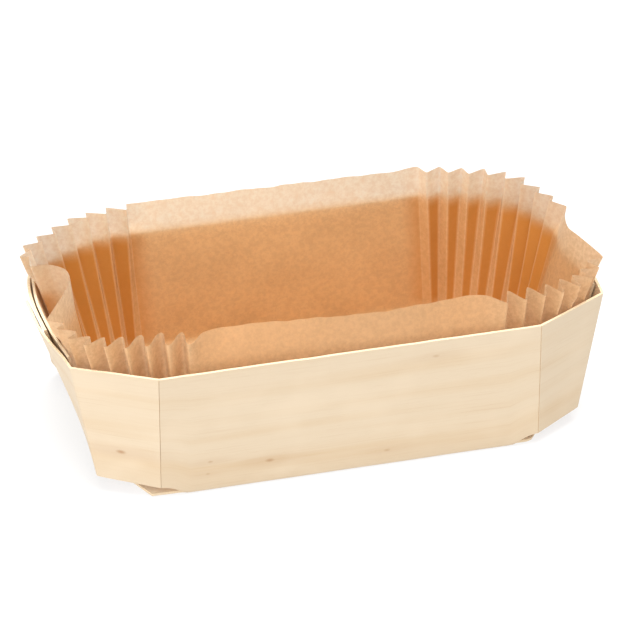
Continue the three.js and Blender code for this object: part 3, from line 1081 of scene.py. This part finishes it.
def liner_marks(rings, marks, shades, lengths):
    """For every point: whether pleats lie double there, with painted shade; whether the paper is creased
    nearby, with a painted highlight; whether the paper is free, where painted backlight goes; and how far it
    is along the back, where painted light goes.
    """
    doubled_and_pleat_shade = np.zeros(len(marks))
    crease_highlight = np.zeros(len(marks))
    # Where the painted backlight goes: paper above the veneer's rim, towards the back.
    free = np.clip((rings[..., 2] - RIM_Z + 1.5) / 4, 0, 1) * np.clip((rings[..., 1] + 10) / 30, 0, 1)
    # Where the painted light along the back goes: towards the back, away from the ends.
    back = np.clip((rings[..., 1] + 5) / 40, 0, 1) * np.clip((90 - abs(rings[..., 0])) / 20, 0, 1)
    count = len(shades)
    for i, (k, place) in enumerate(marks):
        nearest = min(place, 1 - place)
        before, after = shades[k - 1], shades[(k + 1) % count]
        # Pleat faces get painted shade with their double paper, full on the wide faces and weaker on the
        # narrow ones.
        if shades[k] != 0:
            face = 1.0 if shades[k] > 0 else 0.4
            doubled_and_pleat_shade[i] = abs(shades[k]) * face * min(0.3 + nearest * 6, 1.0)
            # Pale lines at both folds of a pleat face: painted highlight, with creased paper.
            crease_highlight[i] = np.clip(1.15 - nearest * lengths[k] / 0.6, 0, 1)
        # Painted shade spills onto a panel next to a corner and fades out over about 6 mm.
        elif before != 0 or after != 0:
            distance = lengths[k] * (place if before != 0 else 1 - place)
            doubled_and_pleat_shade[i] = max(abs(before), abs(after)) * 0.6 * np.clip(1.3 - distance / 5, 0, 1)
    z = rings[..., 2]
    # The painted pleat shade is strongest below the veneer's rim, fades above it and near the foot, and is
    # weaker towards the front.
    low = 0.2 + 0.8 * (1 - np.clip((z - (RIM_Z - 3)) / 5.0, 0, 1))
    low *= np.clip((z - LINER_FOOT_Z) / 6, 0.3, 1)
    front = np.clip((rings[..., 1] + 20) / 30, 0.25, 1)
    return {
        "doubled_and_pleat_shade": doubled_and_pleat_shade[None, :] * low * front,
        "crease_highlight": np.broadcast_to(crease_highlight[None, :], z.shape),
        "free": free,
        "back": back,
    }


def liner_mesh(sizes):
    """The liner as one sheet of paper, with its double places and their painted shade, its creases and their
    painted highlight, and its free places and back with painted light, as attributes.
    """
    rings, marks, shades, lengths = liner_surface(sizes)
    marked = liner_marks(rings, marks, shades, lengths)
    levels, around = rings.shape[:2]
    index = np.arange(levels * around).reshape(levels, around)
    after = np.roll(index, -1, axis=1)
    faces = np.stack([index[:-1], after[:-1], after[1:], index[1:]], axis=-1).reshape(-1, 4)
    mesh = bpy.data.meshes.new("paper_liner_sheet")
    mesh.from_pydata((rings.reshape(-1, 3) * MM).tolist(), [], faces.tolist())
    for name, values in marked.items():
        attribute = mesh.attributes.new(name, "FLOAT", "POINT")
        attribute.data.foreach_set("value", np.ascontiguousarray(values, dtype=np.float32).ravel())
    work = bmesh.new()
    work.from_mesh(mesh)
    bmesh.ops.remove_doubles(work, verts=work.verts, dist=0.02 * MM)
    bmesh.ops.recalc_face_normals(work, faces=work.faces)
    for face in work.faces:
        face.smooth = True
    work.to_mesh(mesh)
    work.free()
    return mesh


# ---------------------------------------------------------------- operators


class MOULD_OT_bottom_sheet(bpy.types.Operator):
    """Builds the bottom sheet that the mould stands on."""

    bl_idname = "mould.bottom_sheet"
    bl_label = "Bottom sheet"

    def execute(self, context):
        veneer_piece("bottom_sheet_veneer", sheet_mesh(context.scene.tray_sizes), ["bottom_sheet"])
        return {"FINISHED"}


class MOULD_OT_folded_sides(bpy.types.Operator):
    """Builds both folded blanks: long walls, corner panels and end plies."""

    bl_idname = "mould.folded_sides"
    bl_label = "Walls, corners and end plies"

    def execute(self, context):
        sizes = context.scene.tray_sizes
        for side in ("front", "back"):
            blank = folded_blank(side, sizes)
            last = len(blank[2]) - 1
            scores, folds = blank[3], blank[4]
            spans = {
                f"left_{side}_end_ply": (0, folds[0]),
                f"{side}_left_corner_panel": (folds[0], scores[0]),
                f"{side}_wall": (scores[0], scores[1]),
                f"{side}_right_corner_panel": (scores[1], folds[1]),
                f"right_{side}_end_ply": (folds[1], last),
            }
            for node, (first, end) in spans.items():
                mesh = blank_part(node, blank, first, end, side, sizes)
                veneer_piece(f"{node}_veneer", mesh, [node])
        return {"FINISHED"}


class MOULD_OT_end_flaps(bpy.types.Operator):
    """Builds the flaps that stand up at both ends, inside the end plies."""

    bl_idname = "mould.end_flaps"
    bl_label = "End flaps"

    def execute(self, context):
        for end in ("left", "right"):
            node = f"{end}_end_flap"
            veneer_piece(f"{node}_veneer", flap_mesh(end, context.scene.tray_sizes), [node])
        return {"FINISHED"}


class MOULD_OT_paper_liner(bpy.types.Operator):
    """Builds the loose pleated liner of baking paper."""

    bl_idname = "mould.paper_liner"
    bl_label = "Paper liner"

    def execute(self, context):
        mesh = liner_mesh(context.scene.liner_sizes)
        paper = shared_material("liner_paper", paper_material, context.scene.mould_colours)
        piece = add_piece("pleated_paper_liner", mesh, [paper], "liner", ["paper_liner"])
        return {"FINISHED"}


class MOULD_OT_studio(bpy.types.Operator):
    """Sets up the pale floor, the soft lights and the camera."""

    bl_idname = "mould.studio"
    bl_label = "Floor, lights and camera"

    def execute(self, context):
        scene = context.scene
        add_floor(scene)
        add_lights(scene)
        add_camera(scene)
        scene.view_settings.view_transform = "Standard"
        return {"FINISHED"}


FLOOR_SIZE = 6.0
FLOOR_DROP = 0.0002
LIGHT_TARGET = (0, 0, 0.03)


def add_floor(scene):
    mesh = bpy.data.meshes.new("floor")
    work = bmesh.new()
    bmesh.ops.create_grid(work, x_segments=8, y_segments=8, size=FLOOR_SIZE)
    work.to_mesh(mesh)
    work.free()
    mesh.materials.append(shared_material("pale_floor", floor_material, scene.mould_colours))
    floor = bpy.data.objects.new("floor", mesh)
    floor.location.z = -FLOOR_DROP
    scene.collection.objects.link(floor)


def aim(thing, target):
    """Turns a light or camera to look at a point."""
    direction = Vector(target) - thing.location
    thing.rotation_mode = "QUATERNION"
    thing.rotation_quaternion = direction.to_track_quat("-Z", "Y")


def add_lights(scene):
    world = bpy.data.worlds.new("studio")
    world.use_nodes = True
    background = world.node_tree.nodes["Background"]
    background.inputs[0].default_value = (1.0, 1.0, 1.0, 1.0)
    background.inputs[1].default_value = 0.42
    scene.world = world
    for name, place, size, energy in (
        ("key_light", (-0.4, -1.75, 1.45), 2.2, 26.0),
        ("side_light", (-1.9, -0.35, 0.6), 1.2, 14.0),
        ("top_light", (0.1, 0.1, 1.9), 1.6, 60.0),
    ):
        data = bpy.data.lights.new(name, "AREA")
        data.shape = "DISK"
        data.size = size
        data.energy = energy
        light = bpy.data.objects.new(name, data)
        light.location = place
        aim(light, LIGHT_TARGET)
        scene.collection.objects.link(light)


CAMERA_TARGET = (-1.32 * MM, 0.0, 37.3 * MM)
CAMERA_AZIMUTH = -14.86
CAMERA_ELEVATION = 31.74
CAMERA_DISTANCE = 1.6585
CAMERA_LENS = 259.6


def add_camera(scene):
    data = bpy.data.cameras.new("camera")
    data.sensor_width = 36.0
    data.lens = CAMERA_LENS
    data.clip_start = 0.05
    data.clip_end = 30.0
    camera = bpy.data.objects.new("camera", data)
    turn, rise = math.radians(CAMERA_AZIMUTH), math.radians(CAMERA_ELEVATION)
    back = Vector((math.sin(turn) * math.cos(rise), -math.cos(turn) * math.cos(rise), math.sin(rise)))
    camera.location = Vector(CAMERA_TARGET) + back * CAMERA_DISTANCE
    aim(camera, CAMERA_TARGET)
    scene.collection.objects.link(camera)
    scene.camera = camera


class MOULD_PT_panel(bpy.types.Panel):
    """Lists the mould's pieces, sizes and colours."""

    bl_idname = "MOULD_PT_panel"
    bl_label = "Loaf Mould"
    bl_space_type = "VIEW_3D"
    bl_region_type = "UI"
    bl_category = "Loaf Mould"

    def draw(self, context):
        layout = self.layout
        for operator in OPERATORS:
            layout.operator(operator.bl_idname)
        for group in (context.scene.tray_sizes, context.scene.liner_sizes, context.scene.mould_colours):
            box = layout.box()
            for name in group.bl_rna.properties.keys():
                if name not in ("rna_type", "name"):
                    box.prop(group, name)


GROUPS = {"tray_sizes": TraySizes, "liner_sizes": LinerSizes, "mould_colours": MouldColours}
OPERATORS = (
    MOULD_OT_bottom_sheet,
    MOULD_OT_folded_sides,
    MOULD_OT_end_flaps,
    MOULD_OT_paper_liner,
    MOULD_OT_studio,
)
CLASSES = (*GROUPS.values(), *OPERATORS, MOULD_PT_panel)


def register():
    for cls in CLASSES:
        bpy.utils.register_class(cls)
    for name, group in GROUPS.items():
        setattr(bpy.types.Scene, name, PointerProperty(type=group))


def unregister():
    for name in GROUPS:
        delattr(bpy.types.Scene, name)
    for cls in reversed(CLASSES):
        bpy.utils.unregister_class(cls)


def main():
    register()
    bpy.ops.mould.bottom_sheet()
    bpy.ops.mould.folded_sides()
    bpy.ops.mould.end_flaps()
    bpy.ops.mould.paper_liner()
    bpy.ops.mould.studio()


if __name__ == "__main__":
    main()
